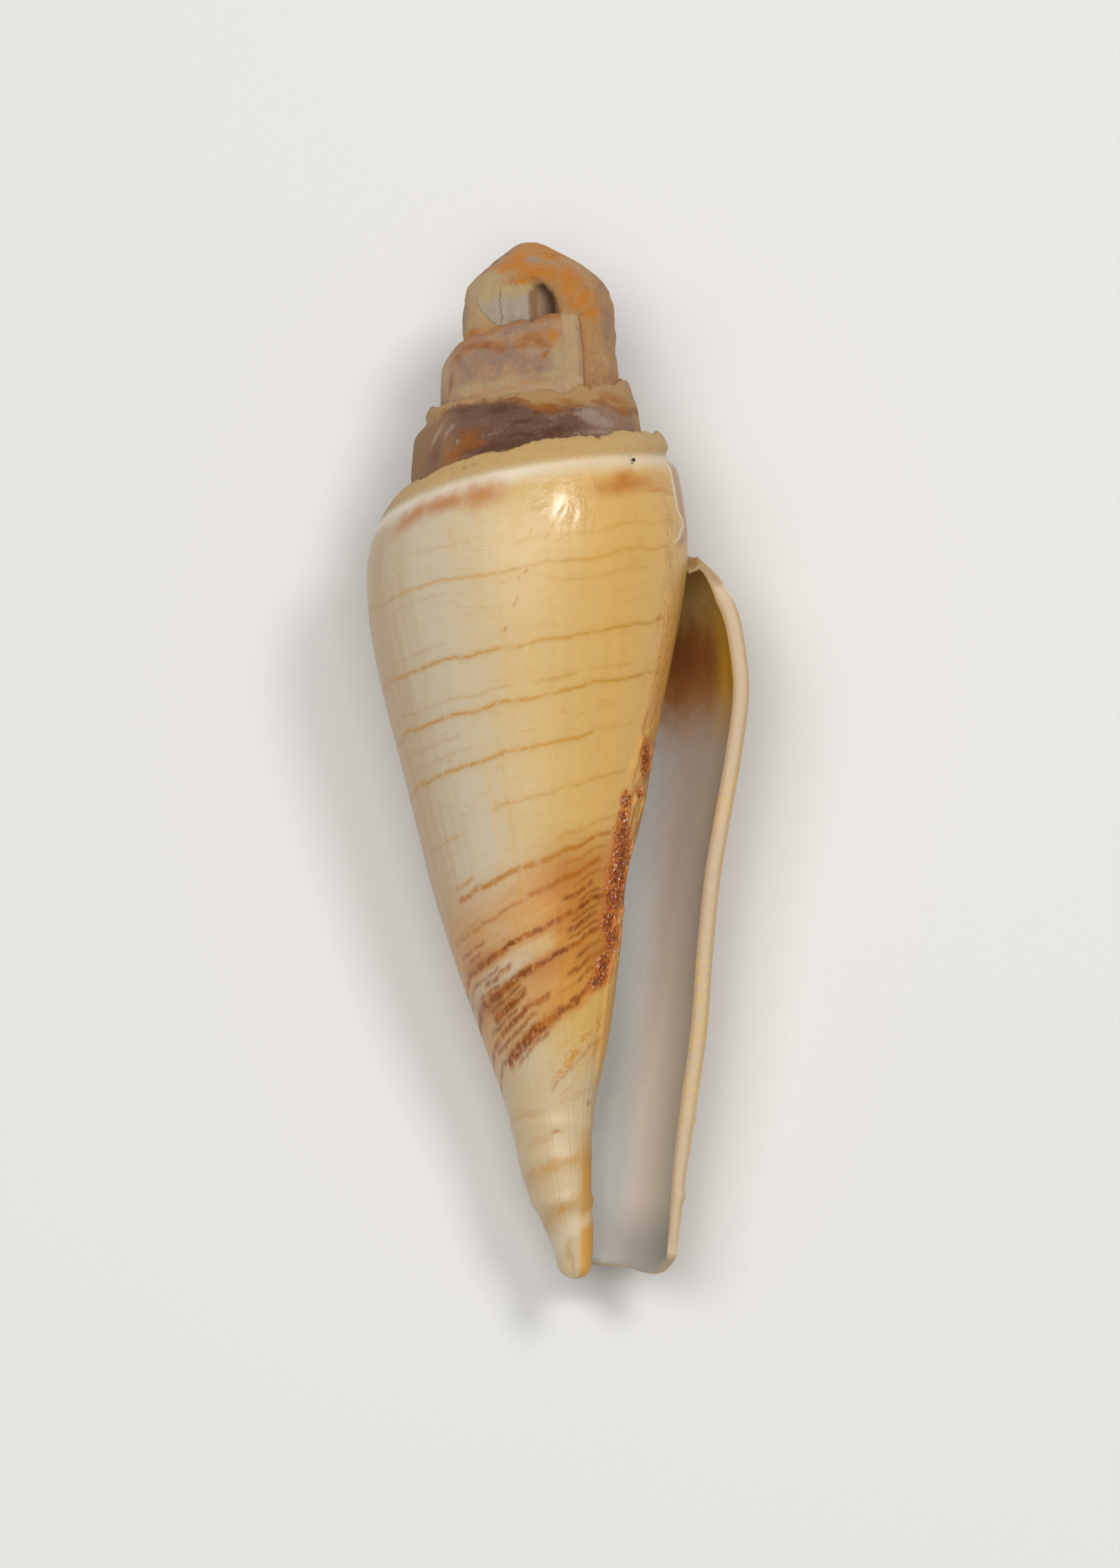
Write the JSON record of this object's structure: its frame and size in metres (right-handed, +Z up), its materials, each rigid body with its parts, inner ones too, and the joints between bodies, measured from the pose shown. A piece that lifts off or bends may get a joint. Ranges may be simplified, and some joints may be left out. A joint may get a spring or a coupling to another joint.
{
  "type": "rayed cone shell",
  "caption": "High-spired cone shell with stepped, worn whorls, a broken cap and a long narrow aperture, lying on its back on a small flat.",
  "frame": {"origin": "centre of the bounding box in X and Y, at the resting flat", "axes": "+Y towards the apex of the spire, +X towards the lip's side, +Z up out of the aperture; the coiling axis lies in the YZ plane, spire end tipped up 5 degrees"},
  "size_m": [0.0254, 0.0698, 0.0237],
  "materials": {
    "shell": "glossy porcelain-like shell, ochre and cream with fine brown spiral lines, rust blotches under the shoulder, and a grey-white aperture"
  },
  "bodies": {
    "root": {"shell": "shell"}
  },
  "joints": []
}
